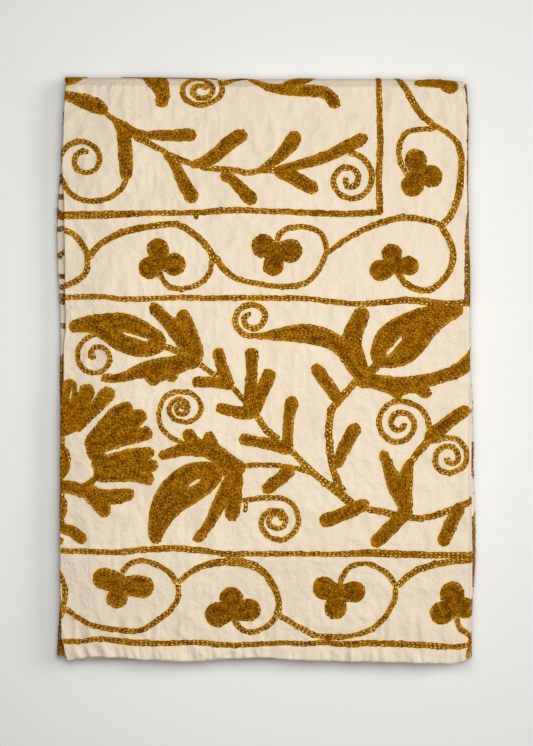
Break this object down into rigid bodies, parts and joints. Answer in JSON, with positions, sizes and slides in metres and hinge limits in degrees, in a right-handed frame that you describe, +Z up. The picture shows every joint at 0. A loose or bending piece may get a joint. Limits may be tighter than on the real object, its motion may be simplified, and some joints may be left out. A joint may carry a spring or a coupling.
{
  "type": "folded embroidered tablecloth",
  "caption": "Cream cotton tablecloth embroidered in ochre chain stitch with scrolling leaves, spirals and vine borders, folded in half twice each way into a flat rectangular packet",
  "frame": {"origin": "under the middle of the packet's bounding box, on the surface that it lies on", "axes": "+Z up out of the surface; +Y along the packet's length from the hem towards the outer lengthwise fold; +X across it towards the nested side folds"},
  "size_m": [0.4198, 0.5836, 0.0251],
  "materials": {
    "cream_cotton": "matte plain weave",
    "ochre_wool": "matte twisted yarn in chain stitch"
  },
  "bodies": {
    "root": {"folded_tablecloth": "cream_cotton"}
  },
  "joints": []
}
